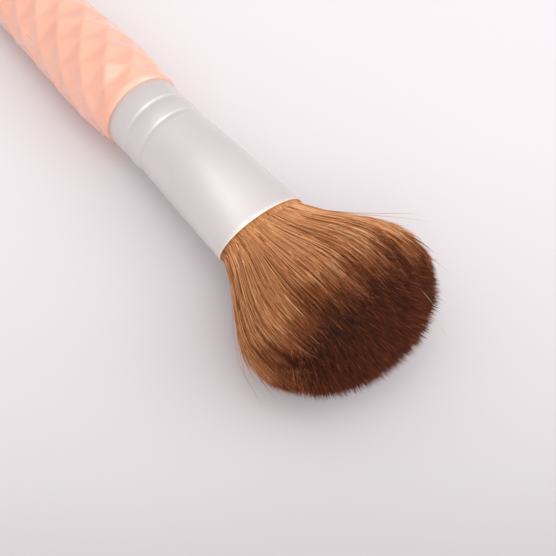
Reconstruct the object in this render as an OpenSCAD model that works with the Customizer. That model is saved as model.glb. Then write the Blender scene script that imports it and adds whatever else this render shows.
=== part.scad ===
// Blush brush: a moulded handle cut in diamonds, a pressed aluminium ferrule and a fanned hair tuft.
// Each piece is drawn on the brush's own axis, x = 0 where the handle meets the ferrule and +X towards
// the hair, and as_it_lies() then lays the finished brush on the table.

/* [Handle] */
// Length of the handle from its tail to the ferrule
handle_l = 110; // [90:1:140]
// Radius over the ridges where the handle is fullest
handle_r = 9.4; // [8.9:0.05:10.5]
// Distance from the ferrule to the fullest place
swell_x = 11; // [8:0.5:20]
// Radius over the ridges at the tail
tail_r = 4.7; // [3.5:0.1:6]
// Radius of the plain round collar against the ferrule
collar_r = 8.45; // [8.2:0.05:8.8]
// Length of the plain round collar
collar_l = 1.6; // [1:0.1:3]
// Length over which the collar opens into the first diamonds
flare_l = 2.5; // [1.5:0.1:5]
// Diamonds in one turn of the handle
diamonds = 8; // [6:1:10]
// Length of a diamond where the handle is fullest
diamond_l = 8.1; // [7:0.1:9]
// Turn of the first ridge points about the axis, from straight up, in degrees
diamond_turn = 33.5; // [0:0.5:44.5]
// Depth of a diamond's middle below the chord across its waist, where the handle is fullest
diamond_dip = 0.3; // [0.1:0.05:0.4]
// Length of the rounded tail end
dome_l = 5.5; // [4:0.5:8]
// Radius of the small flat at the end of the tail
tail_flat_r = 2.2; // [1.5:0.1:3]

/* [Tenon] */
// Length of the tenon that the handle has inside the ferrule
tenon_l = 12.4; // [12.2:0.1:12.8]
// Gap all round between the tenon and the ferrule, filled by a film of glue
tenon_gap = 0.05; // [0.03:0.01:0.1]
// Chamfer on the tenon's end
tenon_chamfer = 0.8; // [0.4:0.1:1.2]

/* [Ferrule] */
// Length of the ferrule
ferrule_l = 38; // [34:0.5:44]
// Outside radius of its round part
ferrule_r = 8; // [7.6:0.05:8.2]
// Thickness of its aluminium wall
wall = 0.4; // [0.3:0.05:0.5]
// Half width of the flattened mouth
mouth_a = 9.9; // [9:0.1:11.5]
// Half height of the flattened mouth
mouth_b = 5; // [4.6:0.1:7.5]
// Distance from the handle to the first crimp
crimp_x = 5.6; // [5:0.1:6]
// Distance from one crimp to the next
crimp_pitch = 4.7; // [4.2:0.1:4.8]
// Radius of the wheel that rolls a crimp
crimp_wheel_r = 0.6; // [0.5:0.05:0.7]
// Depth of a crimp
crimp_depth = 0.2; // [0.15:0.05:0.25]
// Height of the soft bead between the two crimps
bead_h = 0.14; // [0.08:0.01:0.2]

/* [Hair] */
// Length of hair that stands out of the mouth at its middle
hair_l = 36.8; // [30:0.2:42]
// Half width of the fan where it is widest
fan_a = 19.4; // [15:0.1:22]
// Half thickness of the fan where it is fullest
fan_b = 12.6; // [11.5:0.1:15]
// Distance from the mouth to the widest place
fan_x = 23.4; // [18:0.2:28]
// How far the hair gives where the brush lies on it
rest_squash = 0.5; // [0.3:0.1:1]
// Depth of the grooves between the locks of hair
lock_depth = 0.35; // [0.1:0.05:0.6]
// Gap all round between the hair and the ferrule
hair_gap = 0.15; // [0.1:0.05:0.3]

/* [Glue plug] */
// Thickness of the resin behind the hair
plug_l = 2; // [1:0.5:4]
// Length of hair root that the resin holds
root_l = 3; // [2:0.5:5]
// Thickness of the resin round the root
plug_wall = 0.5; // [0.3:0.1:0.8]
// Gap between the resin and the ferrule
plug_gap = 0.05; // [0.02:0.01:0.1]

/* [Hidden] */

step = 360 / diamonds;          // turn from one ridge point to the next
arc_n = 8;                      // segments of round edge that one ridge point fans out to
round_n = diamonds * arc_n;     // segments round the collar and the tail
fine_n = 72;                    // segments round the ferrule
lock_n = 96;                    // segments round the hair
bore_r = ferrule_r - wall;
tenon_r = bore_r - tenon_gap;
crimps = [crimp_x, crimp_x + crimp_pitch];
crimp_half_w = sqrt(pow(crimp_wheel_r, 2) - pow(crimp_wheel_r - crimp_depth, 2));
barrel_x = crimps[1] + crimp_half_w + 0.75;
plug_x = tenon_l + 0.3;
root_x = plug_x + plug_l;
free_x = root_x + root_l;       // where the hair leaves the resin
tip_x = ferrule_l + hair_l;
widest_x = ferrule_l + fan_x;

// The brush touches the table with the hair's belly and with the fullest diamonds or the tail,
// whichever is lower.
belly_r = fan_b - rest_squash;
low_turn = diamond_turn % (step / 2);
lowest_turn = min(low_turn, step / 2 - low_turn);
swell_low_r = handle_r * cos(lowest_turn);
lie_slope = min((belly_r - swell_low_r) / (widest_x + swell_x),
                (belly_r - tail_r) / (widest_x + handle_l - dome_l));
lie_angle = atan(lie_slope);
axis_h = (belly_r - widest_x * lie_slope) * cos(lie_angle);
middle_x = (tip_x - handle_l) / 2 * cos(lie_angle);

// Height of the table below the axis at x, on the brush's own axis
function table_z(x) = -(belly_r + (x - widest_x) * lie_slope);

// Radius over the ridges at a distance s behind the ferrule
function ridge_r(s) =
    s < swell_x
    ? handle_r - (handle_r - collar_r) * pow(1 - s / swell_x, 2)
    : handle_r + (tail_r - handle_r) * (s - swell_x) / (handle_l - dome_l - swell_x);
// Half the length of a diamond whose ridge points lie at radius r: it shrinks less than they do
function half_diamond(r) = diamond_l / 2 * pow(r / handle_r, 0.35);

facet_from = collar_l + flare_l;
facet_to = handle_l - dome_l;
// Places of the turns of ridge points, from the ferrule to the tail
free_turns = [for (s = facet_from; s < facet_to; s = s + half_diamond(ridge_r(s))) s];
turns_n = len(free_turns);
turn_fit = (facet_to - facet_from) / (free_turns[turns_n - 1] - facet_from);
turns = [for (s = free_turns) facet_from + (s - facet_from) * turn_fit];

// Point at distance x along the axis, radius r and an angle from straight up
function spot(x, r, turn) = [x, -r * sin(turn), r * cos(turn)];
function ridge_turn(k) = diamond_turn + (k % 2) * step / 2;
function ridge_ring(k) =
    [for (i = [0:diamonds - 1]) spot(-turns[k], ridge_r(turns[k]), ridge_turn(k) + i * step)];
// Middles of the diamonds whose waists lie on turn k, each halfway to the next ridge point
function dip_ring(k) =
    let (r = ridge_r(turns[k]))
    [for (i = [0:diamonds - 1])
        spot(-turns[k], r * (cos(step / 2) - diamond_dip / handle_r), ridge_turn(k) + (i + 0.5) * step)];
// A round edge whose points start half a step before ridge point 0 of turn k
function round_ring(x, r, k) =
    [for (i = [0:round_n - 1]) spot(x, r, ridge_turn(k) - step / 2 + i * step / arc_n)];

// Faces from the turn of ridge points k to the next one, two to each half of a diamond. A diamond's
// middle comes dips_at places after the ridge point at its left.
dips_at = turns_n * diamonds;
function diamond_faces(k) =
    let (a = k * diamonds, b = a + diamonds, n = diamonds)
    [for (i = [0:n - 1])
        let (j = (i + 1) % n, p = dips_at + a + i, q = dips_at + b + i, far = k % 2 == 0 ? b + i : b + j,
             near = k % 2 == 0 ? a + j : a + i)
        each [[a + i, p, far], [p, a + j, far], [b + i, near, q], [q, near, b + j]]];
// Faces from ridge points that start at index a to a round edge that starts at index c
function fan_faces(a, c, inward) =
    [for (i = [0:diamonds - 1])
        each concat(
            [for (j = [0:arc_n - 1])
                let (p = c + i * arc_n + j, q = c + (i * arc_n + j + 1) % round_n)
                inward ? [a + i, p, q] : [a + i, q, p]],
            let (e = c + ((i + 1) * arc_n) % round_n, n = a + (i + 1) % diamonds, m = dips_at + a + i)
                inward ? [[a + i, e, m], [m, e, n]] : [[a + i, m, e], [m, n, e]])];
// Faces between two round edges of n points that start at indices a and b, with b further along +X
function band_faces(a, b, n) =
    [for (i = [0:n - 1])
        let (j = (i + 1) % n)
        each [[a + i, b + j, a + j], [a + i, b + i, b + j]]];
function cap(a, n) = [for (i = [0:n - 1]) a + i];
function turned(face) = [for (i = [len(face) - 1:-1:0]) face[i]];

// Solid through a list of rings of equal size, closed by a flat cap at each end
module ring_solid(rings) {
    n = len(rings[0]);
    last = len(rings) - 1;
    polyhedron(
        points = [for (ring = rings) each ring],
        faces = concat(
            [cap(0, n)],
            [for (k = [0:last - 1]) each band_faces(k * n, (k + 1) * n, n)],
            [turned(cap(last * n, n))]));
}

// The handle outside the ferrule: collar, diamonds folded in along their waists, and a domed tail
module diamond_body() {
    ridges = [for (k = [0:turns_n - 1]) each ridge_ring(k)];
    dips = [for (k = [0:turns_n - 1]) each dip_ring(k)];
    last = turns_n - 1;
    tail_turns = [0, 30, 55, 75, 90];
    collar_rings = [round_ring(-collar_l, collar_r, 0), round_ring(0, collar_r, 0)];
    tail_rings = [
        for (t = tail_turns)
            round_ring(-handle_l + dome_l * (1 - sin(t)) * 0.8,
                       tail_flat_r + (tail_r * 0.97 - tail_flat_r) * cos(t), last)];
    collar_at = 2 * dips_at;
    tail_at = collar_at + 2 * round_n;
    tail_end = tail_at + (len(tail_turns) - 1) * round_n;
    polyhedron(
        points = concat(ridges, dips, [for (r = collar_rings) each r], [for (r = tail_rings) each r]),
        faces = concat(
            [for (k = [0:last - 1]) each diamond_faces(k)],
            fan_faces(0, collar_at, false),
            band_faces(collar_at, collar_at + round_n, round_n),
            [turned(cap(collar_at + round_n, round_n))],
            fan_faces(last * diamonds, tail_at, true),
            [for (k = [0:len(tail_turns) - 2])
                each band_faces(tail_at + (k + 1) * round_n, tail_at + k * round_n, round_n)],
            [cap(tail_end, round_n)]));
}

// Round spigot of the handle, grooved where the ferrule is crimped into it
module tenon() {
    overlap = 1;
    difference() {
        union() {
            turned_rod(tenon_r, -overlap, tenon_l - tenon_chamfer);
            translate([tenon_l - tenon_chamfer, 0, 0]) rotate([0, 90, 0])
                cylinder(h = tenon_chamfer, r1 = tenon_r, r2 = tenon_r - tenon_chamfer, $fn = fine_n);
        }
        for (x = crimps)
            crimp_ring(x, crimp_wheel_r + wall + tenon_gap);
    }
}

// Rod along the axis from one place to another
module turned_rod(r, from, to) {
    translate([from, 0, 0]) rotate([0, 90, 0]) cylinder(h = to - from, r = r, $fn = fine_n);
}

// Ring that the wheel sweeps as it rolls a crimp at x, grown to a radius
module crimp_ring(x, r) {
    translate([x, 0, 0]) rotate([0, 90, 0])
        rotate_extrude($fn = fine_n)
            translate([ferrule_r + crimp_wheel_r - crimp_depth, 0]) circle(r, $fn = 32);
}

// Round outside of the ferrule: rolled in at the crimps and swelling a little between them
module rolled_outside() {
    bead_w = crimp_pitch - 2 * crimp_half_w;
    difference() {
        union() {
            turned_rod(ferrule_r, 0, barrel_x);
            translate([crimp_x + crimp_pitch / 2, 0, 0]) rotate([0, 90, 0])
                rotate_extrude($fn = fine_n)
                    polygon(concat(
                        [[bore_r - 1, -bead_w / 2]],
                        [for (t = [-4:4]) [ferrule_r + bead_h * (1 - t * t / 16), bead_w * t / 8]],
                        [[bore_r - 1, bead_w / 2]]));
        }
        for (x = crimps)
            crimp_ring(x, crimp_wheel_r);
    }
}

// Round bore of the ferrule, which the crimps press into
module rolled_bore() {
    difference() {
        turned_rod(bore_r, -1, barrel_x);
        for (x = crimps)
            crimp_ring(x, crimp_wheel_r + wall);
    }
}

// Half width and half height of the ferrule's outside at x, round at first and oval at the mouth
function eased(t) = t * t * (3 - 2 * t);
function barrel_t(x) = min(1, max(0, (x - barrel_x) / (ferrule_l - barrel_x)));
function press_t(x) = eased(min(1, max(0, (barrel_t(x) - 0.3) / 0.95)));
function barrel_a(x) = ferrule_r + (mouth_a - ferrule_r) * barrel_t(x);
function barrel_b(x) =
    ferrule_r - 0.25 * (ferrule_r - mouth_b) * barrel_t(x)
    - 0.75 * (ferrule_r - mouth_b) * press_t(x) / press_t(ferrule_l);
// Oval section of the barrel at x, drawn in by an inset, of n points
function barrel_ring(x, inset, n) =
    [for (i = [0:n - 1])
        let (t = i * 360 / n)
        [x, -(barrel_a(x) - inset) * sin(t), (barrel_b(x) - inset) * cos(t)]];

// Outside and inside of the pressed part. Each starts back inside the round part, a hair wider.
stations = 7;
lip = 0.12;                     // rounding of the mouth's edge
proud = 0.02;
barrel_xs = concat([barrel_x - 0.25],
                   [for (k = [0:stations]) barrel_x + (ferrule_l - lip - barrel_x) * k / stations]);
module barrel_outside() {
    ring_solid(concat(
        [for (x = barrel_xs) barrel_ring(x, -proud, fine_n)],
        [barrel_ring(ferrule_l, lip, fine_n)]));
}
module barrel_inside() {
    past = 1;
    rim = barrel_ring(ferrule_l, wall - lip, fine_n);
    ring_solid(concat(
        [for (x = barrel_xs) barrel_ring(x, wall - proud, fine_n)],
        [rim, [for (p = rim) p + [past, 0, 0]]]));
}

module handle() {
    color("lightsalmon") {
        diamond_body();
        tenon();
    }
}

module ferrule() {
    color("silver") {
        difference() {
            union() {
                rolled_outside();
                barrel_outside();
            }
            rolled_bore();
            barrel_inside();
        }
    }
}

// Set resin: a shallow cup that fills the ferrule behind the hair and grips its roots
module glue_plug() {
    outer = wall + plug_gap;
    inner = outer + plug_wall;
    color("wheat")
        ring_solid([
            barrel_ring(plug_x, outer, lock_n), barrel_ring(free_x, outer, lock_n),
            barrel_ring(free_x, inner, lock_n), barrel_ring(root_x, inner, lock_n)]);
}

// Half width and half thickness of the free hair at u from the mouth: it flares, then domes over
function flare_t(u) = pow(sin(90 * min(1, u / fan_x)), 1.5);
function dome_t(u) = u <= fan_x ? 1 : sqrt(1 - pow((u - fan_x) / (hair_l - fan_x), 2));
mouth_inset = wall + hair_gap;
function fan_half_a(u) =
    (mouth_a - mouth_inset + (fan_a - mouth_a + mouth_inset) * flare_t(u)) * dome_t(u);
function fan_half_b(u) =
    (mouth_b - mouth_inset + (fan_b - mouth_b + mouth_inset) * flare_t(u)) * dome_t(u);
// Grooves between locks of hair at an angle t, fading in from the mouth
function locks(t, u) =
    lock_depth * min(1, u / 6)
    * (0.45 * sin(17 * t + 40) + 0.35 * sin(23 * t) + 0.2 * sin(9 * t + 110) - 0.6);
function fan_ring(u) =
    let (x = ferrule_l + u, a = fan_half_a(u), b = fan_half_b(u), low = table_z(x))
    [for (i = [0:lock_n - 1])
        let (t = i * 360 / lock_n, d = locks(t, u) * min(1, 2 * dome_t(u)))
        [x, -(a + d) * sin(t), max((b + d) * cos(t), low)]];

module hair_tuft() {
    root_inset = wall + plug_gap + plug_wall + 0.01;
    sides = [for (k = [0:8]) 0.2 + (fan_x - 0.2) * k / 8];
    dome = [for (t = [15:10:85]) fan_x + (hair_l - fan_x) * sin(t)];
    color("sienna")
        ring_solid(concat(
            [barrel_ring(root_x, root_inset, lock_n), barrel_ring(free_x, root_inset, lock_n)],
            [for (k = [0:4])
                barrel_ring(free_x + 0.4 + (ferrule_l - free_x - 0.4) * k / 4, mouth_inset, lock_n)],
            [for (u = concat(sides, dome)) fan_ring(u)]));
}

module as_it_lies() {
    translate([-middle_x, 0, axis_h]) rotate([0, -lie_angle, 0]) children();
}

as_it_lies() handle();
as_it_lies() ferrule();
as_it_lies() glue_plug();
as_it_lies() hair_tuft();
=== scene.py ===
"""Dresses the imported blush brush: moulded diamonds, a drawn ferrule and a fan of dyed hair.

Lengths are millimetres on the brush's own axis, with x = 0 where the handle meets the ferrule and
+X towards the hair. Rest.matrix() lays a finished mesh on the table, in metres.
"""
import logging
import math
from dataclasses import dataclass, field
from enum import Enum

import bmesh
import bpy
import numpy as np
from mathutils import Matrix, Vector

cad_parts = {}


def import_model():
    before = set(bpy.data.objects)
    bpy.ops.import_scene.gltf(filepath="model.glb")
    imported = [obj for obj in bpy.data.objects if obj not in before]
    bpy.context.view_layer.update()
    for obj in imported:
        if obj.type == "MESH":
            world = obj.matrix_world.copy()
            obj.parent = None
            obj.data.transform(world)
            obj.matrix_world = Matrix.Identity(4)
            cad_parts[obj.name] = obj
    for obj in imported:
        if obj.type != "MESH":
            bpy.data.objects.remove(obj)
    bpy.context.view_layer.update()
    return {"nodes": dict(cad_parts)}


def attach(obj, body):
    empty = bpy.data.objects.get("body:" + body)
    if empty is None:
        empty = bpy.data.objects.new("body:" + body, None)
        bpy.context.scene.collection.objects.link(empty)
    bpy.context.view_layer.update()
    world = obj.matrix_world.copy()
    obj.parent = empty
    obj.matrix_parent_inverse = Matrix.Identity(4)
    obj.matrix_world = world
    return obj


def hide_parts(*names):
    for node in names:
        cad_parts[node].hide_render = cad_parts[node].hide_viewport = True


log = logging.getLogger("blush_brush")

MM = 0.001
FRAME_PX = 556      # side of the photograph's frame
SHARP_ANGLE = 38.0  # degrees past which an edge is drawn sharp


def linear(code: str) -> tuple[float, float, float, float]:
    """Turns an sRGB hex colour into the linear one that a shader takes.

    Args:
        code: A colour such as "#F9BFA8".

    Returns:
        Linear red, green and blue, and an alpha of 1.
    """
    parts = [int(code[i:i + 2], 16) / 255 for i in (1, 3, 5)]
    r, g, b = (c / 12.92 if c <= 0.04045 else ((c + 0.055) / 1.055) ** 2.4 for c in parts)
    return (r, g, b, 1.0)


def add_node(tree: bpy.types.NodeTree, kind: str, settings: dict | None = None,
             inputs: dict | None = None) -> bpy.types.Node:
    """Adds a node with its settings and links.

    Args:
        tree: The node tree that gets the node.
        kind: The node's type name.
        settings: Properties of the node, by name.
        inputs: Input sockets by name or index; a socket as the value is linked, anything else is set.

    Returns:
        The new node.
    """
    node = tree.nodes.new(kind)
    for name, value in (settings or {}).items():
        setattr(node, name, value)
    for name, value in (inputs or {}).items():
        if isinstance(value, bpy.types.NodeSocket):
            tree.links.new(value, node.inputs[name])
        else:
            node.inputs[name].default_value = value
    return node


def new_material(name: str) -> tuple[bpy.types.Material, bpy.types.NodeTree]:
    """Makes an empty node material.

    Args:
        name: The material's name.

    Returns:
        The material and its cleared node tree.
    """
    material = bpy.data.materials.new(name)
    material.use_nodes = True
    material.node_tree.nodes.clear()
    return material, material.node_tree


def set_ramp(node: bpy.types.Node, stops: list[tuple[float, str]]) -> None:
    """Sets the stops of a Color Ramp.

    Args:
        node: The Color Ramp node.
        stops: Position and sRGB hex colour of each stop, in rising order.
    """
    ramp = node.color_ramp
    while len(ramp.elements) < len(stops):
        ramp.elements.new(0.5)
    for element, (place, code) in zip(ramp.elements, stops):
        element.position = place
        element.color = linear(code)


class Shading(Enum):
    """How a finished mesh is shaded."""

    SMOOTH = "smooth"
    BY_ANGLE = "by angle"


@dataclass(frozen=True)
class Rest:
    """How the brush lies: on the hair's belly and on its fullest diamonds."""

    handle_l: float = 110.0
    ferrule_l: float = 38.0
    hair_l: float = 36.8       # from the ferrule's mouth to the dome's tip
    fan_x: float = 23.4        # from the mouth to where the fan is widest
    belly_r: float = 12.1      # from the axis to the flattened belly
    swell_x: float = 11.0      # from the ferrule back to the fullest diamonds
    swell_r: float = 9.4
    ridge_turn: float = 11.0   # the lowest ridge point stands this many degrees off straight down

    @property
    def widest_x(self) -> float:
        """Where the fan is widest."""
        return self.ferrule_l + self.fan_x

    @property
    def slope(self) -> float:
        """Rise of the axis per millimetre towards the hair."""
        low = self.swell_r * math.cos(math.radians(self.ridge_turn))
        return (self.belly_r - low) / (self.widest_x + self.swell_x)

    def table_z(self, x: np.ndarray) -> np.ndarray:
        """Height of the table on the brush's own axis, at each x."""
        return -(self.belly_r + (x - self.widest_x) * self.slope)

    def matrix(self) -> Matrix:
        """Places the brush's own millimetres on the table.

        Returns:
            The matrix from the brush's axis to the table, in metres.
        """
        angle = math.atan(self.slope)
        height = (self.belly_r - self.widest_x * self.slope) * math.cos(angle)
        middle = (self.ferrule_l + self.hair_l - self.handle_l) / 2 * math.cos(angle)
        return (Matrix.Translation(Vector((-middle, 0, height)) * MM)
                @ Matrix.Rotation(-angle, 4, "Y") @ Matrix.Scale(MM, 4))


@dataclass(frozen=True)
class View:
    """Where the photograph was taken from, in millimetres, fitted to the brush's outlines."""

    azimuth: float = 51.999
    elevation: float = 57.976
    roll: float = -1.276
    target: tuple[float, float, float] = (64.668, -3.395, 9.0)
    distance: float = 300.0
    focal_px: float = 1618.55

    def axes(self) -> tuple[Vector, Vector, Vector]:
        """Finds the camera's own directions.

        Returns:
            Right, up and back in the picture.
        """
        az, el, roll = (math.radians(v) for v in (self.azimuth, self.elevation, self.roll))
        back = Vector((math.sin(az) * math.cos(el), -math.cos(az) * math.cos(el), math.sin(el)))
        flat = Vector((math.cos(az), math.sin(az), 0))
        lift = back.cross(flat)
        right = flat * math.cos(roll) + lift * math.sin(roll)
        up = lift * math.cos(roll) - flat * math.sin(roll)
        return right, up, back

    def place(self) -> Vector:
        """Finds the camera's place."""
        return Vector(self.target) + self.axes()[2] * self.distance

    def point_at(self, pixel: tuple[int, int], height: float) -> Vector:
        """Finds what the photograph shows at a pixel.

        Args:
            pixel: Place across and down the picture.
            height: How high over the table it is taken to be.

        Returns:
            The point, on the table's axes.
        """
        right, up, back = self.axes()
        across, down = ((p - FRAME_PX / 2) / self.focal_px for p in pixel)
        ray = right * across - up * down - back
        start = self.place()
        return start + ray * ((height - start.z) / ray.z)


def make_piece(bm: bmesh.types.BMesh, name: str, material: bpy.types.Material,
               shading: Shading, nodes: tuple[str, ...] = ()) -> bpy.types.Object:
    """Turns a finished bmesh into a piece that rides on the brush.

    Args:
        bm: The mesh, already in its place in metres. It is freed.
        name: The piece's name.
        material: Its material.
        shading: Smooth all over, or broken at sharp edges.
        nodes: The CAD nodes that it stands for.

    Returns:
        The object, at the origin.
    """
    mesh = bpy.data.meshes.new(name)
    bm.to_mesh(mesh)
    bm.free()
    mesh.materials.append(material)
    mesh.polygons.foreach_set("use_smooth", [True] * len(mesh.polygons))
    if shading is Shading.BY_ANGLE:
        mesh.set_sharp_from_angle(angle=math.radians(SHARP_ANGLE))
    obj = bpy.data.objects.new(name, mesh)
    bpy.context.scene.collection.objects.link(obj)
    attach(obj, "root")
    if nodes:
        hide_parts(*nodes)
    log.info("%s: %d vertices, %d faces", name, len(mesh.vertices), len(mesh.polygons))
    return obj


@dataclass(frozen=True)
class MouldedPlastic:
    """Injection-moulded ABS from a satin tool: a clear skin over pigmented plastic."""

    base: str = "#EDAF97"
    cloud: str = "#EAA68E"
    cloud_mm: float = 9.0
    roughness: float = 0.3
    grain_mm: float = 0.35

    def material(self) -> bpy.types.Material:
        """Builds the plastic's material.

        Returns:
            The material.
        """
        material, tree = new_material("moulded_abs")
        place = add_node(tree, "ShaderNodeTexCoord").outputs["Object"]
        # Pigment clouds, as a marbled melt leaves them, shift the tint and the gloss a little.
        cloud = add_node(tree, "ShaderNodeTexNoise", None,
                         {"Vector": place, "Scale": 1 / (self.cloud_mm * MM), "Detail": 3.0,
                          "Roughness": 0.5})
        tint = add_node(tree, "ShaderNodeValToRGB", None, {"Fac": cloud.outputs["Fac"]})
        set_ramp(tint, [(0.35, self.base), (0.7, self.cloud)])
        # The tool's spark-eroded grain is finer than the render shows, so it is drawn coarser.
        grain = add_node(tree, "ShaderNodeTexNoise", None,
                         {"Vector": place, "Scale": 1 / (self.grain_mm * MM), "Detail": 2.0})
        bump = add_node(tree, "ShaderNodeBump", None,
                        {"Strength": 0.02, "Distance": 0.02 * MM, "Height": grain.outputs["Fac"]})
        rough = add_node(tree, "ShaderNodeMapRange", None,
                         {"Value": cloud.outputs["Fac"], "From Min": 0.3, "From Max": 0.7,
                          "To Min": self.roughness - 0.04, "To Max": self.roughness + 0.05})
        # The coat is the resin-rich skin, whose wide highlights draw each diamond's facets.
        shader = add_node(tree, "ShaderNodeBsdfPrincipled", None, {
            "Base Color": tint.outputs["Color"], "Roughness": rough.outputs["Result"],
            "IOR": 1.53, "Coat Weight": 1.0, "Coat Roughness": 0.22,
            "Normal": bump.outputs["Normal"]})
        add_node(tree, "ShaderNodeOutputMaterial", None, {"Surface": shader.outputs["BSDF"]})
        return material


@dataclass(frozen=True)
class DrawnAluminium:
    """Drawn aluminium tube, bead-dulled and clear anodised: about a third of its light is scattered."""

    # The faint pink of both tints is a painted reflection of the pink card.
    base: str = "#DDD7D6"
    dulled: str = "#D8D3D2"
    dull_mm: float = 6.0
    rim_reflection: str = "#F6E6CC"
    rim_reflection_from: float = 0.22    # from the mouth back to where the painted rim reflection starts
    rim_reflection_full: float = 0.1     # and to where it is at full strength
    roughness: float = 0.44
    ring_mm: float = 0.16

    def material(self, rest: Rest) -> bpy.types.Material:
        """Builds the aluminium's material.

        Args:
            rest: How the brush lies, which gives the tube's axis.

        Returns:
            The material.
        """
        material, tree = new_material("anodised_aluminium")
        place = add_node(tree, "ShaderNodeTexCoord").outputs["Object"]
        # Rings left by the polishing wheel run round the tube: noise drawn out across the axis.
        rings = add_node(tree, "ShaderNodeMapping", None,
                         {"Vector": place, "Rotation": (0, math.atan(rest.slope), 0),
                          "Scale": (1 / (self.ring_mm * MM), 12.0, 12.0)})
        lines = add_node(tree, "ShaderNodeTexNoise", None,
                         {"Vector": rings.outputs["Vector"], "Scale": 1.0, "Detail": 2.0})
        bump = add_node(tree, "ShaderNodeBump", None,
                        {"Strength": 0.06, "Distance": 0.02 * MM, "Height": lines.outputs["Fac"]})
        # Bead dulling is never quite even, which leaves faint clouds in the gloss.
        dull = add_node(tree, "ShaderNodeTexNoise", None,
                        {"Vector": place, "Scale": 1 / (self.dull_mm * MM), "Detail": 4.0})
        rough = add_node(tree, "ShaderNodeMapRange", None,
                         {"Value": dull.outputs["Fac"], "From Min": 0.3, "From Max": 0.7,
                          "To Min": self.roughness - 0.03, "To Max": self.roughness + 0.04})
        tint = add_node(tree, "ShaderNodeValToRGB", None, {"Fac": dull.outputs["Fac"]})
        set_ramp(tint, [(0.3, self.base), (0.75, self.dulled)])
        # Painted highlight: a cream tint along the mouth's edge stands in for the edge catching the light
        # and mirroring the hair.
        x, _, z, start = rest.matrix().inverted()[0]
        along = add_node(tree, "ShaderNodeVectorMath", {"operation": "DOT_PRODUCT"}, {0: place})
        along.inputs[1].default_value = (x, 0, z)
        edge = add_node(tree, "ShaderNodeMapRange", None,
                        {"Value": along.outputs["Value"],
                         "From Min": rest.ferrule_l - self.rim_reflection_from - start,
                         "From Max": rest.ferrule_l - self.rim_reflection_full - start})
        metal = add_node(tree, "ShaderNodeMix", {"data_type": "RGBA"},
                         {0: edge.outputs["Result"], 6: tint.outputs["Color"],
                          7: linear(self.rim_reflection)})
        shader = add_node(tree, "ShaderNodeBsdfPrincipled", None, {
            "Base Color": metal.outputs[2], "Metallic": 0.7,
            "Roughness": rough.outputs["Result"], "Normal": bump.outputs["Normal"]})
        add_node(tree, "ShaderNodeOutputMaterial", None, {"Surface": shader.outputs["BSDF"]})
        return material


@dataclass(frozen=True)
class SetResin:
    """Amber two-part epoxy, poured and set: glossy and a little cloudy."""

    base: str = "#C8A868"
    cloud: str = "#B08F52"
    cloud_mm: float = 2.0

    def material(self) -> bpy.types.Material:
        """Builds the resin's material.

        Returns:
            The material.
        """
        material, tree = new_material("set_epoxy")
        place = add_node(tree, "ShaderNodeTexCoord").outputs["Object"]
        # Fine bubbles from stirring make the poured resin darker in patches.
        cloud = add_node(tree, "ShaderNodeTexNoise", None,
                         {"Vector": place, "Scale": 1 / (self.cloud_mm * MM)})
        tint = add_node(tree, "ShaderNodeValToRGB", None, {"Fac": cloud.outputs["Fac"]})
        set_ramp(tint, [(0.3, self.base), (0.7, self.cloud)])
        shader = add_node(tree, "ShaderNodeBsdfPrincipled", None, {
            "Base Color": tint.outputs["Color"], "Roughness": 0.2, "IOR": 1.55})
        add_node(tree, "ShaderNodeOutputMaterial", None, {"Surface": shader.outputs["BSDF"]})
        return material


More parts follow.
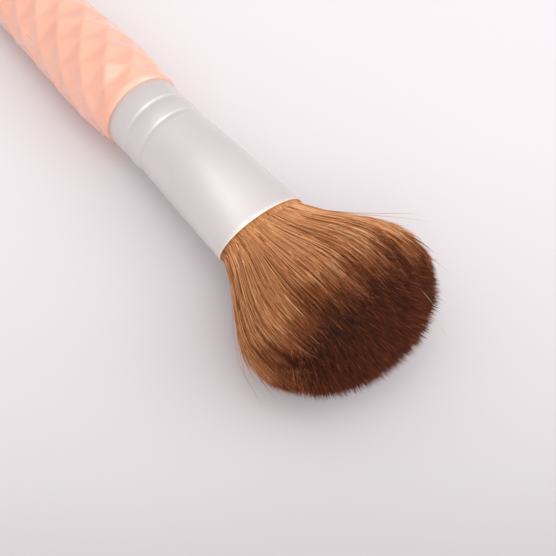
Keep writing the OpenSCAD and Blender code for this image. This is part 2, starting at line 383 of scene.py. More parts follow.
@dataclass(frozen=True)
class DyedHair:
    """Polyester fibre dyed tan with dark tips: a soft gloss, and shades that differ by hair."""

    shades: tuple[tuple[float, str], ...] = (
        (0.0, "#764224"), (0.28, "#B06F43"), (0.58, "#DA9763"), (0.84, "#F6B782"), (1.0, "#FFD6AA"))
    faded: tuple[tuple[float, str], ...] = ((0.0, "#5A2A13"), (0.6, "#98542C"), (1.0, "#D58E62"))
    tips: tuple[tuple[float, str], ...] = ((0.0, "#150501"), (0.6, "#311006"), (1.0, "#944722"))
    # Painted light: the paler red that each hair's very tip is mixed to, for light passing through the
    # thin end.
    cut: str = "#8C4A2E"
    dyed_from: float = 0.54    # share of the length where the darkest hairs start to be dyed
    dyed_to: float = 0.82      # and where they have the tips' full colour
    late: float = 0.12         # how much nearer to the tip the palest hairs' dye starts
    roughness: float = 0.48

    def material(self) -> bpy.types.Material:
        """Builds the hair's material, which reads each hair's own tone and place along it.

        Returns:
            The material.
        """
        material, tree = new_material("dyed_hair")
        tone = add_node(tree, "ShaderNodeAttribute", {"attribute_name": "tone"}).outputs["Fac"]
        along = add_node(tree, "ShaderNodeAttribute", {"attribute_name": "along"}).outputs["Fac"]
        tan = add_node(tree, "ShaderNodeValToRGB", None, {"Fac": tone})
        set_ramp(tan, list(self.shades))
        # The dye creeps up some hairs further than others, so each one's own tone shifts its edge.
        shift = add_node(tree, "ShaderNodeMath", {"operation": "MULTIPLY_ADD"},
                         {0: tone, 1: -self.late, 2: along})
        tint = tan.outputs["Color"]
        middle = (self.dyed_from + self.dyed_to) / 2
        for stops, low, high in ((self.faded, self.dyed_from, middle), (self.tips, middle, self.dyed_to)):
            shade = add_node(tree, "ShaderNodeValToRGB", None, {"Fac": tone})
            set_ramp(shade, list(stops))
            dyed = add_node(tree, "ShaderNodeMapRange", {"interpolation_type": "SMOOTHSTEP"},
                            {"Value": shift.outputs[0], "From Min": low, "From Max": high})
            tint = add_node(tree, "ShaderNodeMix", {"data_type": "RGBA"},
                            {0: dyed.outputs["Result"], 6: tint, 7: shade.outputs["Color"]}).outputs[2]
        # Painted light: the very tip of each hair is mixed towards a paler red, standing in for light
        # passing through the thin cut end.
        end = add_node(tree, "ShaderNodeAttribute", {"attribute_name": "cut_end"}).outputs["Fac"]
        pale = add_node(tree, "ShaderNodeMix", {"data_type": "RGBA"},
                        {0: end, 6: tint, 7: linear(self.cut)})
        shader = add_node(tree, "ShaderNodeBsdfPrincipled", None, {
            "Base Color": pale.outputs[2], "Roughness": self.roughness, "IOR": 1.5,
            "Specular IOR Level": 0.12})
        add_node(tree, "ShaderNodeOutputMaterial", None, {"Surface": shader.outputs["BSDF"]})
        return material


@dataclass(frozen=True)
class PaleTable:
    """Matt pinkish-white card that the brush lies on; its colour greys towards the camera's side as
    painted shade.
    """

    shades: tuple[tuple[float, str], ...] = (
        (0.0, "#BFBABC"), (0.12, "#C8C4C6"), (0.24, "#CFCACD"), (0.4, "#D4CFD2"), (0.68, "#DAD6D9"),
        (1.0, "#DCD8DB"))
    azimuth: float = 52.0      # the way that the camera looks, in degrees
    near_mm: float = -105.0    # where the painted shade is darkest, on the camera's side
    far_mm: float = 25.0       # where it is palest

    def material(self) -> bpy.types.Material:
        """Builds the table's material.

        Returns:
            The material.
        """
        material, tree = new_material("pale_card")
        place = add_node(tree, "ShaderNodeTexCoord").outputs["Object"]
        # Painted shade: the card's colour greys over 130 mm towards the camera's side, standing in for
        # the light falling off away from a window.
        turned = add_node(tree, "ShaderNodeMapping", None,
                          {"Vector": place, "Rotation": (0, 0, -math.radians(self.azimuth))})
        split = add_node(tree, "ShaderNodeSeparateXYZ", None, {0: turned.outputs["Vector"]})
        painted_falloff = add_node(tree, "ShaderNodeMapRange", None,
                        {"Value": split.outputs["Y"], "From Min": self.near_mm * MM,
                         "From Max": self.far_mm * MM})
        tint = add_node(tree, "ShaderNodeValToRGB", None, {"Fac": painted_falloff.outputs["Result"]})
        set_ramp(tint, list(self.shades))
        shader = add_node(tree, "ShaderNodeBsdfPrincipled", None, {
            "Base Color": tint.outputs["Color"], "Roughness": 0.75, "Specular IOR Level": 0.2})
        add_node(tree, "ShaderNodeOutputMaterial", None, {"Surface": shader.outputs["BSDF"]})
        return material


@dataclass
class Handle:
    """The moulded handle: the solid's own diamonds, with the rounded edges that a mould gives."""

    finish: MouldedPlastic = field(default_factory=MouldedPlastic)
    cuts: int = 8              # new points along each edge of a diamond
    rounds: int = 2            # how often the edges are softened, which rounds them by about 0.4 mm
    plain_mm: float = 0.8      # the collar's edge at the ferrule stays as it is
    long_mm: float = 1.2       # edges longer than this belong to the diamonds

    def build(self, solid: bpy.types.Object, rest: Rest) -> bpy.types.Object:
        """Builds the handle from its solid.

        Args:
            solid: The CAD node.
            rest: How the brush lies.

        Returns:
            The dressed handle, which stands for the node.
        """
        bm = bmesh.new()
        bm.from_mesh(solid.data)
        bmesh.ops.remove_doubles(bm, verts=bm.verts, dist=0.002 * MM)
        back = rest.matrix().inverted()
        outside = {v for v in bm.verts if (back @ v.co).x < -self.plain_mm}
        long_edges = [e for e in bm.edges
                      if e.calc_length() > self.long_mm * MM and outside.issuperset(e.verts)]
        bmesh.ops.subdivide_edges(bm, edges=long_edges, cuts=self.cuts, use_grid_fill=True)
        soft = [v for v in bm.verts if (back @ v.co).x < -self.plain_mm * 2]
        for _ in range(self.rounds):
            bmesh.ops.smooth_vert(bm, verts=soft, factor=0.5,
                                  use_axis_x=True, use_axis_y=True, use_axis_z=True)
        return make_piece(bm, "faceted_handle", self.finish.material(),
                          Shading.BY_ANGLE, ("handle",))


@dataclass
class Ferrule:
    """The drawn tube: spun as a round section, then its barrel pressed oval."""

    rest: Rest
    radius: float = 8.0
    wall: float = 0.4
    mouth_a: float = 9.9       # half width of the mouth
    mouth_b: float = 5.0       # half height of the mouth
    crimps: tuple[float, float] = (5.6, 10.3)
    wheel_r: float = 0.6       # radius of the wheel that rolls the crimps in
    depth: float = 0.2
    shoulder: float = 0.38     # the metal eases over the groove's shoulders
    bead: float = 0.14         # height of the bead between the crimps
    edge: float = 0.1          # rounding of the end at the handle
    plain: float = 0.75        # round stretch between the second crimp and the pressed barrel
    lip: float = 0.12          # rounding of the mouth's edge
    crimp_rings: int = 12
    bead_rings: int = 8
    barrel_rings: int = 26
    bore_rings: int = 16
    bore_ring_mm: float = 1.5
    steps: int = 144
    finish: DrawnAluminium = field(default_factory=DrawnAluminium)

    @property
    def half_crimp(self) -> float:
        """Half the width of a crimp."""
        return math.sqrt(self.wheel_r ** 2 - (self.wheel_r - self.depth) ** 2)

    @property
    def barrel_x(self) -> float:
        """Where the pressed barrel starts."""
        return self.crimps[1] + self.half_crimp + self.plain

    @staticmethod
    def press(t: float) -> float:
        """Eases the press's stroke at t along the barrel: it starts at 0.3 and would end at 1.25."""
        w = min(1.0, max(0.0, (t - 0.3) / 0.95))
        return w * w * (3 - 2 * w)

    def section(self, x: float) -> tuple[float, float]:
        """Finds the outside's size at x.

        Args:
            x: Distance from the handle.

        Returns:
            Half width and half height.
        """
        t = min(1.0, max(0.0, (x - self.barrel_x) / (self.rest.ferrule_l - self.barrel_x)))
        drop = self.radius - self.mouth_b
        return (self.radius + (self.mouth_a - self.radius) * t,
                self.radius - drop * (0.25 * t + 0.75 * self.press(t) / self.press(1.0)))

    def crimp_line(self, crimp: float) -> list[tuple[float, float]]:
        """Draws one crimp as (x, radius), eased into the tube at both sides.

        Args:
            crimp: Where its middle is.

        Returns:
            Points along it.
        """
        half = self.half_crimp + self.shoulder
        across = [2 * k / self.crimp_rings - 1 for k in range(self.crimp_rings + 1)]
        return [(crimp + half * s, self.radius - self.depth * (1 + math.cos(math.pi * s)) / 2)
                for s in across]

    def bead_line(self) -> list[tuple[float, float]]:
        """Draws the low bead between the crimps as (x, radius).

        Returns:
            Points along it, without its ends.
        """
        middle = sum(self.crimps) / 2
        half = middle - self.crimps[0] - self.half_crimp - self.shoulder
        across = [2 * k / self.bead_rings - 1 for k in range(1, self.bead_rings)]
        return [(middle + half * s, self.radius + self.bead * (1 - s * s)) for s in across]

    def profile(self) -> list[tuple[float, float]]:
        """Draws the wall's section.

        Returns:
            Points as (x, radius): out along the outside, back along the bore.
        """
        end = self.rest.ferrule_l
        out = [(0.0, self.radius - self.edge), (self.edge * 0.3, self.radius - self.edge * 0.3),
               (self.edge, self.radius)]
        out += self.crimp_line(self.crimps[0]) + self.bead_line() + self.crimp_line(self.crimps[1])
        barrel = end - self.lip - self.barrel_x
        out += [(self.barrel_x + barrel * k / self.barrel_rings, self.radius)
                for k in range(self.barrel_rings + 1)]
        out += [(end - self.lip * 0.3, self.radius - self.lip * 0.3), (end, self.radius - self.lip)]
        inner = self.radius - self.wall
        back = [(end, inner + self.lip), (end - self.lip, inner)]
        back += [(end - self.bore_ring_mm * k, inner) for k in range(1, self.bore_rings + 1)]
        return out + back + [(0.0, inner)]

    def press_oval(self, vert: bmesh.types.BMVert) -> None:
        """Moves a vertex of the round tube to its place in the pressed one.

        Args:
            vert: The vertex.
        """
        x, y, z = vert.co
        r = math.hypot(y, z)
        a, b = self.section(x)
        inset = self.radius - r
        vert.co = (x, y / r * (a - inset), z / r * (b - inset))

    def build(self) -> bpy.types.Object:
        """Builds the ferrule.

        Returns:
            The ferrule, which stands for its node.
        """
        bm = bmesh.new()
        ring = [bm.verts.new((x, 0, r)) for x, r in self.profile()]
        edges = [bm.edges.new((a, b)) for a, b in zip(ring, ring[1:] + ring[:1])]
        bmesh.ops.spin(bm, geom=ring + edges, cent=(0, 0, 0), axis=(1, 0, 0),
                       angle=2 * math.pi, steps=self.steps, use_merge=True)
        bmesh.ops.remove_doubles(bm, verts=bm.verts, dist=0.0005)
        bmesh.ops.recalc_face_normals(bm, faces=bm.faces)
        for vert in bm.verts:
            if vert.co.x > self.barrel_x:
                self.press_oval(vert)
        bmesh.ops.transform(bm, matrix=self.rest.matrix(), verts=bm.verts)
        return make_piece(bm, "drawn_ferrule", self.finish.material(self.rest),
                          Shading.BY_ANGLE, ("ferrule",))


@dataclass
class GluePlug:
    """The set resin inside the ferrule, on its own solid."""

    finish: SetResin = field(default_factory=SetResin)

    def dress(self, solid: bpy.types.Object) -> None:
        """Gives the solid its resin.

        Args:
            solid: The CAD node.
        """
        solid.data.materials.clear()
        solid.data.materials.append(self.finish.material())
        log.info("glue_plug: kept as its solid")


@dataclass(frozen=True)
class Stray:
    """A hair that stands out of the fan, as the photograph shows it."""

    tip_px: tuple[int, int]  # where the picture shows its tip
    height: float            # of the tip over the table, judged
    share: float             # how far out it stands in the mouth, from 0 to 1
    tone: float


@dataclass
class HairFan:
    """The fan of hair: a dense heart, thousands of separate hairs in locks, and a few strays."""

    rest: Rest
    view: View
    mouth_a: float = 9.3       # half width in the mouth
    mouth_b: float = 4.4       # half thickness in the mouth
    fan_a: float = 19.3        # half width where the fan is widest
    fan_b: float = 12.5        # half thickness there
    hair_r: float = 0.068      # a real hair is half as thick; this is the finest that still shows
    root_mm: float = 3.0       # how far inside the mouth a hair starts
    hairs_in_piece: int = 4500
    pieces: int = 4
    stations: tuple[float, ...] = (0.0, 0.16, 0.36, 0.58, 0.78, 0.93)
    skin_part: float = 0.66    # part of the hairs that make the fan's skin
    loose_part: float = 0.14   # part that ends short and stands out a little
    loose_mm: float = 7.0      # how much shorter such a hair can be
    locks: int = 210
    cut_ends: int = 12000      # short ends of the hairs inside, which reach the dome, in each piece
    cut_pieces: int = 2
    cut_stations: tuple[float, ...] = (0.0, 0.6)
    cut_mm: float = 5.5        # length of a cut end
    tip_glow: float = 0.3      # how far the very tip of a hair is mixed to the painted glow
    stray_thin: float = 0.8    # a stray's thickness as a part of the other hairs'
    heart_part: float = 0.93   # the heart's width as a part of the fan's
    heart_short: float = 1.2   # how far its dome stays behind the hair's
    heart_sides: int = 96
    seed: int = 20
    strays: tuple[Stray, ...] = (
        Stray((436, 309), 17.5, 0.9, 1.0), Stray((456, 350), 12.0, 0.95, 0.9),
        Stray((455, 277), 13.0, 0.97, 0.7), Stray((430, 222), 14.0, 1.0, 0.6),
        Stray((421, 214), 12.0, 1.0, 0.35), Stray((444, 268), 8.0, 0.97, 0.5),
        Stray((412, 226), 10.0, 1.0, 0.3), Stray((449, 306), 9.0, 0.95, 0.5),
        Stray((247, 376), 9.0, 1.0, 0.8), Stray((240, 352), 8.0, 1.0, 0.6),
        Stray((262, 404), 7.0, 1.0, 0.4), Stray((275, 401), 5.0, 1.0, 0.25),
        Stray((254, 392), 10.0, 1.0, 0.5), Stray((290, 399), 9.0, 0.98, 0.3),
        Stray((237, 330), 10.0, 1.0, 0.7), Stray((425, 245), 12.0, 1.0, 0.6),
        Stray((320, 402), 8.0, 0.95, 0.2), Stray((392, 372), 9.0, 0.95, 0.8))
    finish: DyedHair = field(default_factory=DyedHair)

    def flare(self, u: np.ndarray) -> np.ndarray:
        """Share of the fan's opening at u from the mouth."""
        return np.sin(np.pi / 2 * np.clip(u / self.rest.fan_x, 0, 1)) ** 1.5

    @property
    def dome_l(self) -> float:
        """Height of the dome, from where the fan is widest to its tip."""
        return self.rest.hair_l - self.rest.fan_x

    def half_a(self, u: np.ndarray) -> np.ndarray:
        """Half width at u, before the dome cuts it."""
        return self.mouth_a + (self.fan_a - self.mouth_a) * self.flare(u)

    def half_b(self, u: np.ndarray) -> np.ndarray:
        """Half thickness at u, before the dome cuts it."""
        return self.mouth_b + (self.fan_b - self.mouth_b) * self.flare(u)

    def dome(self, u: np.ndarray) -> np.ndarray:
        """Share of the fan's width that the dome leaves at u."""
        past = np.clip((u - self.rest.fan_x) / self.dome_l, 0, 0.998)
        return np.sqrt(1 - past ** 2)

    def cut_at(self, share: np.ndarray, bend: np.ndarray) -> np.ndarray:
        """Where the dome cuts each hair.

        Args:
            share: How far out the hair stands, as a share of the fan's width.
            bend: How closely it bends in with the dome, from 0 to 1.

        Returns:
            Distance from the mouth.
        """
        left = np.clip(share, 0.02, 0.999) ** (1 / np.clip(1 - bend, 0.02, 1))
        return self.rest.fan_x + self.dome_l * np.sqrt(1 - left ** 2)

    @staticmethod
    def turn_of(vert: bmesh.types.BMVert) -> float:
        """Angle of a vertex round the brush's axis, from straight up."""
        return math.atan2(-vert.co.y, vert.co.z)

    def heart(self, material: bpy.types.Material) -> bpy.types.Object:
        """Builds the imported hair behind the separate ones.

        Args:
            material: The hair's material.

        Returns:
            The heart, which stands for the tuft's node.
        """
        bm = bmesh.new()
        made = bmesh.ops.create_circle(bm, cap_ends=True, radius=1.0, segments=self.heart_sides,
                                       matrix=Matrix.Rotation(math.pi / 2, 4, "Y"))
        ring = sorted(made["verts"], key=self.turn_of)
        turns = [self.turn_of(v) for v in ring]
        edges = [e for e in bm.edges if len(e.link_faces) == 1]
        fan_x = self.rest.fan_x
        dome_l = self.dome_l - self.heart_short
        stops = [-12.0, -6.0, -1.0, 0.5] + [3.0 * k for k in range(1, 8)] + [fan_x]
        stops += [fan_x + dome_l * math.sin(math.radians(a)) for a in (12, 24, 36, 48, 60, 70, 80, 87)]
        for index, u in enumerate(stops):
            if index:
                grown = bmesh.ops.extrude_edge_only(bm, edges=edges)["geom"]
                ring = sorted((g for g in grown if isinstance(g, bmesh.types.BMVert)), key=self.turn_of)
                edges = [g for g in grown if isinstance(g, bmesh.types.BMEdge)]
            past = max(0.0, (u - fan_x) / dome_l)
            part = math.sqrt(max(0.0, 1 - past ** 2)) * self.heart_part
            a = float(self.half_a(np.float64(max(u, 0)))) * part
            b = float(self.half_b(np.float64(max(u, 0)))) * part
            x = self.rest.ferrule_l + u
            low = float(self.rest.table_z(x)) + 0.35  # the hairs under the heart lie on the table
            for vert, turn in zip(ring, turns):
                vert.co = (x, -a * math.sin(turn), max(b * math.cos(turn), low))
        bmesh.ops.contextual_create(bm, geom=edges)
        bmesh.ops.recalc_face_normals(bm, faces=bm.faces)
        bmesh.ops.transform(bm, matrix=self.rest.matrix(), verts=bm.verts)
        heart = make_piece(bm, "hair_heart", material, Shading.SMOOTH, ("hair_tuft",))
        back = self.rest.matrix().inverted()
        along = [((back @ v.co).x - self.rest.ferrule_l) / self.rest.hair_l for v in heart.data.vertices]
        # Partly painted shade: the heart stands for the inner hairs, and its low tone stands in for the
        # shade in the gaps that it shows through.
        self.write(heart.data, "along", np.array(along) + 0.02)
        self.write(heart.data, "tone", np.full(len(along), 0.16))
        self.write(heart.data, "cut_end", np.zeros(len(along)))
        return heart

    @staticmethod
    def write(mesh: bpy.types.Mesh, name: str, values: np.ndarray) -> None:
        """Stores a number for each vertex of a mesh."""
        layer = mesh.attributes.new(name, "FLOAT", "POINT")
        layer.data.foreach_set("value", np.asarray(values, dtype=np.float32))

    @staticmethod
    def one_hair(stations: int) -> bmesh.types.BMesh:
        """Makes the hair that all others copy: x is the station's number, y and z the section.

        Args:
            stations: How many rings it has before its tip.

        Returns:
            The hair's mesh.
        """
        bm = bmesh.new()
        bmesh.ops.create_circle(bm, cap_ends=True, radius=1.0, segments=3,
                                matrix=Matrix.Rotation(math.pi / 2, 4, "Y"))
        edges = list(bm.edges)
        for _ in range(stations):
            grown = bmesh.ops.extrude_edge_only(bm, edges=edges)["geom"]
            verts = [g for g in grown if isinstance(g, bmesh.types.BMVert)]
            edges = [g for g in grown if isinstance(g, bmesh.types.BMEdge)]
            bmesh.ops.translate(bm, vec=(1, 0, 0), verts=verts)
        middle = sum((v.co for v in verts), Vector()) / 3
        bmesh.ops.pointmerge(bm, verts=verts, merge_co=middle)
        bmesh.ops.recalc_face_normals(bm, faces=bm.faces)
        return bm

    def spread(self, rng: np.random.Generator, count: int) -> dict[str, np.ndarray]:
        """Chooses each hair's place, lock, length and tone.

        Args:
            rng: The seeded random source.
            count: How many hairs.

        Returns:
            Arrays of one number for each hair, by name.
        """
        skin = rng.uniform(size=count) < self.skin_part
        turn = rng.uniform(-np.pi, np.pi, count)
        # The skin's hairs lie within a few hundredths of the outside, the others all through the fan.
        share = np.where(skin, 1 - np.abs(rng.normal(0, 0.035, count)), np.sqrt(rng.uniform(0, 1, count)))
        share = np.clip(share, 0, 1)
        # Each hair bends in with the dome more or less, and the skin's end part of the way over it.
        bend = np.where(skin, rng.uniform(0.0, 0.4, count), rng.uniform(0.1, 0.6, count))
        reach = self.rest.fan_x + self.dome_l * np.sin(np.radians(rng.uniform(8, 60, count)))
        lock_turn, lock_share, lock_tone, lock_dye = self.lock_table()
        lock = self.nearest_lock(turn, share)
        pull = rng.uniform(0.1, 0.6, count)  # how closely a hair gathers with its lock
        shade = np.clip(np.sin(turn) * share * 1.5 - 0.5, 0, 1)  # painted shade: hairs on the -Y side, away from the light, get a browner tone
        drift = (lock_turn[lock] - turn + np.pi) % (2 * np.pi) - np.pi
        end = np.minimum(self.cut_at(share, bend), np.where(skin, reach, np.inf))
        end = end + np.clip(rng.normal(-0.1, 0.6, count), -2.0, 1.3)
        loose = rng.uniform(size=count) < self.loose_part
        end = end - np.where(loose, rng.uniform(0, self.loose_mm, count), 0)
        return {
            "turn": turn, "share": share, "end": end, "bend": bend,
            "turn_end": turn + np.where(np.abs(drift) < 0.5, drift, 0) * pull
            + rng.normal(0, 0.035, count),
            "share_end": share + np.clip((lock_share[lock] - share) * pull, -0.06, 0.03)
            + rng.normal(0, 0.012, count) + np.where(loose, rng.uniform(0, 0.08, count), 0),
            "wave": rng.uniform(0, 2 * np.pi, count), "sway": rng.normal(0, 0.12, count),
            "thick": rng.uniform(0.8, 1.2, count),
            "tone": np.clip(rng.beta(1.6, 1.6, count) + lock_tone[lock] - 0.08 * shade, 0, 1),
            "dye": lock_dye[lock], "start": np.full(count, -self.root_mm)}

    def lock_table(self) -> tuple[np.ndarray, np.ndarray, np.ndarray, np.ndarray]:
        """Places the locks, the same for every piece.

        Returns:
            The turn, share, tone and dye of each.
        """
        rng = np.random.default_rng(self.seed)
        return (rng.uniform(-np.pi, np.pi, self.locks), np.sqrt(rng.uniform(0.05, 1, self.locks)),
                rng.normal(0, 0.1, self.locks), rng.normal(0, 0.035, self.locks))

    def nearest_lock(self, turn: np.ndarray, share: np.ndarray) -> np.ndarray:
        """Finds the lock that each hair falls in.

        Args:
            turn: Each hair's angle round the axis.
            share: How far out each stands.

        Returns:
            The lock's number for each hair.
        """
        lock_turn, lock_share = self.lock_table()[:2]
        gap = ((share[:, None] * np.cos(turn)[:, None] - lock_share * np.cos(lock_turn)) ** 2
               + (share[:, None] * np.sin(turn)[:, None] - lock_share * np.sin(lock_turn)) ** 2)
        return np.argmin(gap, axis=1)

    def ends(self, rng: np.random.Generator, count: int) -> dict[str, np.ndarray]:
        """Chooses the cut ends that stand all over the dome.

        Args:
            rng: The seeded random source.
            count: How many ends.

        Returns:
            Arrays of one number for each end, by name.
        """
        turn = rng.uniform(-np.pi, np.pi, count)
        share = np.sqrt(rng.uniform(0.0, 0.985, count))
        rim = np.clip((share - 0.9) / 0.09, 0, 1)  # at the fan's edge the ends start further back
        end = self.cut_at(share, np.zeros(count)) - rim * rng.uniform(0, 5, count)
        end = end + np.clip(rng.normal(0.1, 0.9, count), -1.8, 2.1)
        lean = rng.normal(0, 0.03, count)
        lock_dye = self.lock_table()[3]
        # An end starts nearer to the axis than it stops, and those at the rim flare the most.
        return {
            "turn": turn, "share": share * 0.85, "end": end,
            "share_end": share + rng.normal(0, 0.01, count)
            + rim * np.clip(np.abs(rng.normal(0, 0.045, count)), 0, 0.09),
            "dye": lock_dye[self.nearest_lock(turn, share)],
            "start": end - self.cut_mm, "turn_end": turn + lean, "bend": np.zeros(count),
            "wave": np.zeros(count), "sway": np.zeros(count),
            "thick": rng.uniform(0.6, 1.05, count), "tone": rng.beta(1.2, 1.4, count)}

    def path(self, hairs: dict[str, np.ndarray], t: np.ndarray) -> tuple[np.ndarray, np.ndarray]:
        """Follows each hair from inside the mouth to its tip.

        Args:
            hairs: What spread() chose, as columns.
            t: Share of the way along each hair.

        Returns:
            Points, and how far each is from the mouth.
        """
        u = hairs["start"] + (hairs["end"] - hairs["start"]) * t
        ease = t ** 1.3  # a hair leaves its first direction slowly, as a fibre springs
        turn = hairs["turn"] + (hairs["turn_end"] - hairs["turn"]) * ease
        share = hairs["share"] + (hairs["share_end"] - hairs["share"]) * ease
        sway = hairs["sway"] * np.sin(hairs["wave"] + 5.5 * t) * t
        share = share * self.dome(u) ** hairs["bend"]
        y = -np.sin(turn) * share * self.half_a(u) + sway
        z = np.cos(turn) * share * self.half_b(u) + sway * 0.6
        x = self.rest.ferrule_l + u
        # The belly's hairs lie on the table, the inner ones on top of them.
        z = np.maximum(z, self.rest.table_z(x) + 0.1 + 0.25 * (1 - share))
        return np.stack(np.broadcast_arrays(x, y, z), -1), u

    def copies(self, count: int, rings: int) -> bmesh.types.BMesh:
        """Copies one hair until there are enough.

        Args:
            count: How many hairs.
            rings: How many rings each has before its tip.

        Returns:
            The mesh of them all, each still straight and in the first one's place.
        """
        bm = self.one_hair(rings)
        faces_in_one = len(bm.faces)
        whole = list(bm.verts) + list(bm.edges) + list(bm.faces)
        made = 1
        # All the hairs so far are copied at once, which doubles them, and then a part of them.
        while made * 2 <= count:
            whole += bmesh.ops.duplicate(bm, geom=whole)["geom"]
            made *= 2
        if made < count:
            faces = list(bm.faces)[:(count - made) * faces_in_one]
            part = list({v for f in faces for v in f.verts}) + list({e for f in faces for e in f.edges})
            bmesh.ops.duplicate(bm, geom=part + faces)
        return bm

    def lay_hairs(self, mesh: bpy.types.Mesh, hairs: dict[str, np.ndarray], radius: float,
                  stations: tuple[float, ...]) -> None:
        """Bends each straight hair to its path and stores what its colour depends on.

        Args:
            mesh: The straight hairs.
            hairs: One number for each hair, by name.
            radius: Radius of a hair near its root.
            stations: Shares of the way along where a hair has a ring.
        """
        co = np.empty(len(mesh.vertices) * 3, dtype=np.float32)
        mesh.vertices.foreach_get("co", co)
        co = co.reshape(-1, 3)
        label = self.label_hairs(mesh)
        order = {key: value[label] for key, value in hairs.items()}
        stops = np.array(stations + (1.0,))
        t = stops[np.clip(np.rint(co[:, 0]).astype(int), 0, len(stops) - 1)]
        here, u = self.path(order, t)
        # Each ring stands square to the way that its hair runs.
        ahead, _ = self.path(order, np.minimum(t + 0.02, 1.02))
        heading = ahead - here
        heading /= np.linalg.norm(heading, axis=1)[:, None]
        across = np.cross(heading, (0.0, 0.0, 1.0))
        across /= np.linalg.norm(across, axis=1)[:, None]
        over = np.cross(heading, across)
        thin = np.interp(t, (0, 0.6, 0.93, 1.0), (1.0, 1.0, 0.5, 0.0)) * radius * order["thick"]
        point = here + (across * co[:, 1:2] + over * co[:, 2:3]) * thin[:, None]
        lay = np.array(self.rest.matrix())
        point = point @ lay[:3, :3].T + lay[:3, 3]
        mesh.vertices.foreach_set("co", point.astype(np.float32).ravel())
        # The dye reaches about 3 mm further up in the middle, and 2 mm on the +Y side.
        side = -np.sin(order["turn"]) * order["share"]
        creep = 0.08 * (1 - side ** 4) + 0.05 * np.clip(side, 0, 1) ** 1.5 - 0.04 * np.clip(-side, 0, 1)
        self.write(mesh, "along", u / self.rest.hair_l + creep + order["dye"])
        self.write(mesh, "tone", order["tone"])
        self.write(mesh, "cut_end", np.where(t > 0.99, self.tip_glow, 0.0))
        mesh.update()

    def grow(self, name: str, hairs: dict[str, np.ndarray], radius: float,
             material: bpy.types.Material, stations: tuple[float, ...]) -> bpy.types.Object:
        """Grows one piece of hair.

        Args:
            name: The piece's name.
            hairs: One number for each hair, by name.
            radius: Radius of a hair near its root.
            material: The hair's material.
            stations: Shares of the way along where a hair has a ring.

        Returns:
            The piece that holds all those hairs.
        """
        count = len(hairs["turn"])
        piece = make_piece(self.copies(count, len(stations)), name, material, Shading.SMOOTH)
        self.lay_hairs(piece.data, hairs, radius, stations)
        log.info("%s: %d hairs of %d vertices", name, count, len(piece.data.vertices) // count)
        return piece

    @staticmethod
    def label_hairs(mesh: bpy.types.Mesh) -> np.ndarray:
        """Numbers the hair that each vertex belongs to, by following the edges.

        Args:
            mesh: Hairs that don't touch each other.

        Returns:
            The hair's number for each vertex.
        """
        edges = np.empty(len(mesh.edges) * 2, dtype=np.int64)
        mesh.edges.foreach_get("vertices", edges)
        edges = edges.reshape(-1, 2)
        label = np.arange(len(mesh.vertices))
        for _ in range(12):  # more often than a hair has rings, as each pass reaches one ring further
            low = np.minimum(label[edges[:, 0]], label[edges[:, 1]])
            np.minimum.at(label, edges[:, 0], low)
            np.minimum.at(label, edges[:, 1], low)
        return np.unique(label, return_inverse=True)[1]

    def place_strays(self) -> dict[str, np.ndarray]:
        """Works out the strays from where the photograph shows their tips.

        Returns:
            Arrays of one number for each stray, by name.
        """
        count = len(self.strays)
        rng = np.random.default_rng(self.seed + 99)
        back = self.rest.matrix().inverted()
        tips = [back @ (self.view.point_at(stray.tip_px, stray.height) * MM) for stray in self.strays]
        # A tip can be picked to about a tenth of a millimetre, half a pixel.
        x, y, z = np.round([(tip.x - self.rest.ferrule_l, tip.y, tip.z) for tip in tips], 1).T
        y, z = y / self.half_a(x), z / self.half_b(x)
        turn = np.arctan2(-y, z)
        return {
            "turn": turn, "turn_end": turn, "share": np.array([stray.share for stray in self.strays]),
            "share_end": np.hypot(y, z), "end": x, "start": np.full(count, -self.root_mm),
            "tone": np.array([stray.tone for stray in self.strays]), "bend": np.zeros(count),
            "wave": rng.uniform(0, 6.28, count), "sway": rng.normal(0, 0.15, count),
            "dye": np.full(count, -1.0), "thick": rng.uniform(0.8, 1.1, count)}

    def build(self) -> None:
        """Builds the heart, the hairs, the cut ends and the strays."""
        material = self.finish.material()
        self.heart(material)
        for index in range(self.pieces):
            rng = np.random.default_rng(self.seed + index)
            self.grow(f"hairs_{index + 1}", self.spread(rng, self.hairs_in_piece),
                      self.hair_r, material, self.stations)
        for index in range(self.cut_pieces):
            rng = np.random.default_rng(self.seed + 50 + index)
            self.grow(f"cut_ends_{index + 1}", self.ends(rng, self.cut_ends),
                      self.hair_r, material, self.cut_stations)
        self.grow("stray_hairs", self.place_strays(), self.hair_r * self.stray_thin,
                  material, self.stations)


@dataclass(frozen=True)
class Lamp:
    """A square lamp that faces the brush."""

    name: str
    where: tuple[float, float, float]   # metres
    side: float                         # metres
    watts: float
    tint: str
    aim: tuple[float, float, float] = (0.045, 0.0, 0.0)

    def hang(self) -> None:
        """Hangs the lamp in its place."""
        lamp = bpy.data.lights.new(self.name, "AREA")
        lamp.shape = "SQUARE"
        lamp.size = self.side
        lamp.energy = self.watts
        lamp.color = linear(self.tint)[:3]
        obj = bpy.data.objects.new(self.name, lamp)
        obj.location = self.where
        toward = Vector(self.aim) - Vector(self.where)
        obj.rotation_euler = toward.to_track_quat("-Z", "Y").to_euler()
        bpy.context.scene.collection.objects.link(obj)


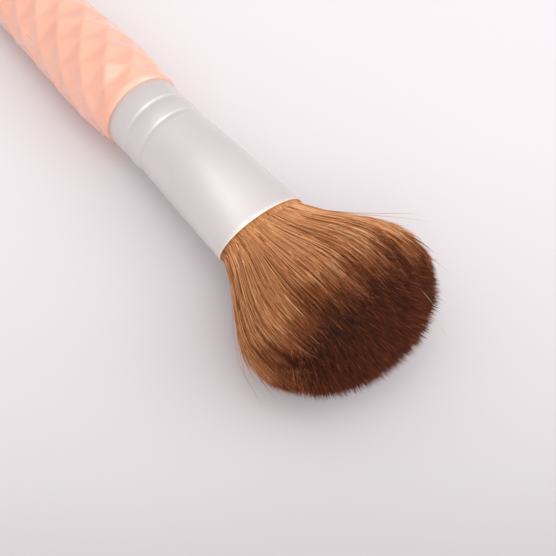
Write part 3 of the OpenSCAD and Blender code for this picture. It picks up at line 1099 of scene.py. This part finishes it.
@dataclass
class Studio:
    """The pale table, the lamps and the camera at the photograph's place."""

    view: View
    bright_side: tuple[float, float, float] = (0.86, 0.1, 0.46)  # low, beyond the hair
    bright_from: float = 0.3   # cosine off the bright side where the room starts to brighten
    bright_full: float = 0.9
    room_low: float = 0.79
    room_high: float = 2.18
    lamps: tuple[Lamp, ...] = (Lamp("soft_box", (0.045, -0.02, 0.6), 0.25, 0.28, "#FFFCFA"),
                               Lamp("window", (0.37, 0.42, 0.32), 0.3, 0.3, "#FFFAF6"))
    table: PaleTable = field(default_factory=PaleTable)

    def place_camera(self) -> None:
        """Puts the camera where the photograph was taken from."""
        right, up, back = self.view.axes()
        where = self.view.place() * MM
        camera = bpy.data.cameras.new("camera")
        camera.sensor_width = 36.0
        camera.lens = self.view.focal_px / FRAME_PX * camera.sensor_width
        camera.clip_start = 0.01
        obj = bpy.data.objects.new("camera", camera)
        obj.matrix_world = Matrix((
            (right.x, up.x, back.x, where.x), (right.y, up.y, back.y, where.y),
            (right.z, up.z, back.z, where.z), (0, 0, 0, 1)))
        bpy.context.scene.collection.objects.link(obj)
        bpy.context.scene.camera = obj

    def lay_table(self) -> None:
        """Lays the table that the brush rests on."""
        bm = bmesh.new()
        bmesh.ops.create_grid(bm, x_segments=1, y_segments=1, size=2.0)
        mesh = bpy.data.meshes.new("table")
        bm.to_mesh(mesh)
        bm.free()
        mesh.materials.append(self.table.material())
        obj = bpy.data.objects.new("table", mesh)
        bpy.context.scene.collection.objects.link(obj)

    def light(self) -> None:
        """Lights the table: a pale room, brighter beyond the hair, a soft box and a far window."""
        world = bpy.data.worlds.new("room")
        world.use_nodes = True
        tree = world.node_tree
        tree.nodes.clear()
        heading = add_node(tree, "ShaderNodeTexCoord").outputs["Generated"]
        toward = add_node(tree, "ShaderNodeVectorMath", {"operation": "DOT_PRODUCT"}, {0: heading})
        toward.inputs[1].default_value = Vector(self.bright_side).normalized()
        level = add_node(tree, "ShaderNodeMapRange", {"interpolation_type": "SMOOTHSTEP"},
                         {"Value": toward.outputs["Value"], "From Min": self.bright_from,
                          "From Max": self.bright_full, "To Min": self.room_low,
                          "To Max": self.room_high})
        glow = add_node(tree, "ShaderNodeBackground", None,
                        {"Color": linear("#FFFEFE"), "Strength": level.outputs["Result"]})
        add_node(tree, "ShaderNodeOutputWorld", None, {"Surface": glow.outputs["Background"]})
        bpy.context.scene.world = world
        for lamp in self.lamps:
            lamp.hang()

    def build(self) -> None:
        """Sets the whole stage."""
        self.place_camera()
        self.lay_table()
        self.light()
        bpy.context.scene.view_settings.view_transform = "Standard"


def main() -> None:
    """Builds the brush in order."""
    logging.basicConfig(level=logging.INFO, format="%(name)s: %(message)s")
    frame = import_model()
    nodes = frame["nodes"]
    rest = Rest()
    view = View()
    Studio(view).build()
    Handle().build(nodes["handle"], rest)
    Ferrule(rest).build()
    GluePlug().dress(nodes["glue_plug"])
    HairFan(rest, view).build()


if __name__ == "__main__":
    main()
